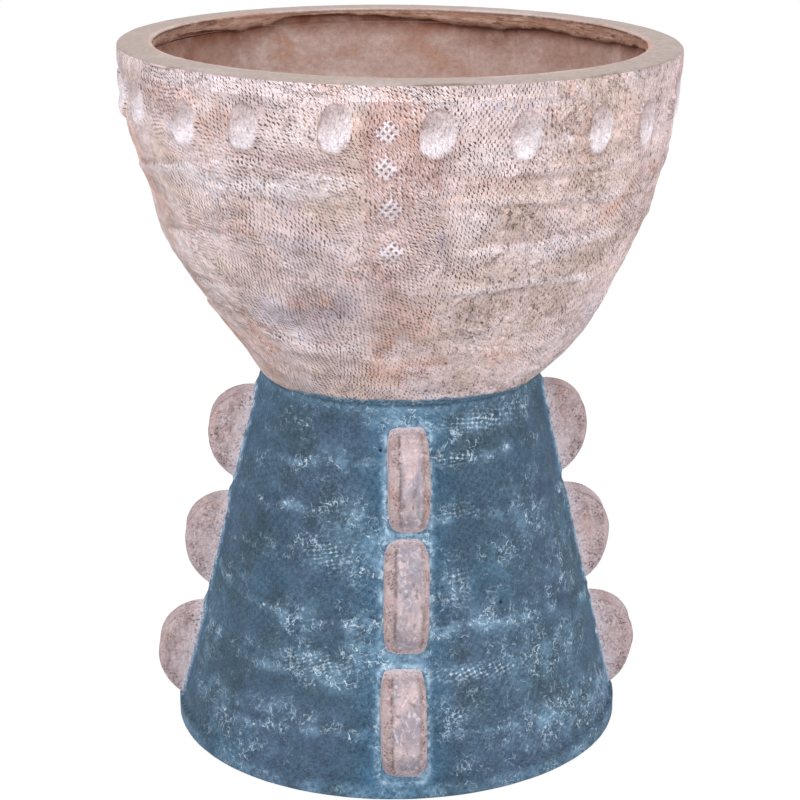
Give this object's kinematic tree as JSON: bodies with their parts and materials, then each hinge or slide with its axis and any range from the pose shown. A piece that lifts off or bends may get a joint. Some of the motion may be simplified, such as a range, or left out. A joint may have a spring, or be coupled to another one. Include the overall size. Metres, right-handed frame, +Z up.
{
  "type": "pedestal planter",
  "caption": "Round hand-built clay planter: a deep coiled bowl with a ring of thumb prints on a flared hollow pedestal with four columns of coin-shaped fins.",
  "frame": {"origin": "centre of the foot's flat face", "axes": "+Z up along the planter's axis; -Y faces the front column of fins"},
  "size_m": [0.3799, 0.38, 0.485],
  "materials": {
    "blue_clay": "matte slate-blue wash over woven texture, whitened on the high spots",
    "bowl_clay": "matte rough pinkish clay with a sacking weave pressed in",
    "rim_clay": "matte smoothed grey-beige clay",
    "fin_clay": "matte smeared pinkish clay, dusted pale at the edges"
  },
  "bodies": {
    "root": {"pedestal": "blue_clay", "bowl": "bowl_clay", "rim": "rim_clay", "fin_front_bottom": "fin_clay", "fin_front_middle": "fin_clay", "fin_front_top": "fin_clay", "fin_right_bottom": "fin_clay", "fin_right_middle": "fin_clay", "fin_right_top": "fin_clay", "fin_back_bottom": "fin_clay", "fin_back_middle": "fin_clay", "fin_back_top": "fin_clay", "fin_left_bottom": "fin_clay", "fin_left_middle": "fin_clay", "fin_left_top": "fin_clay"}
  },
  "joints": []
}
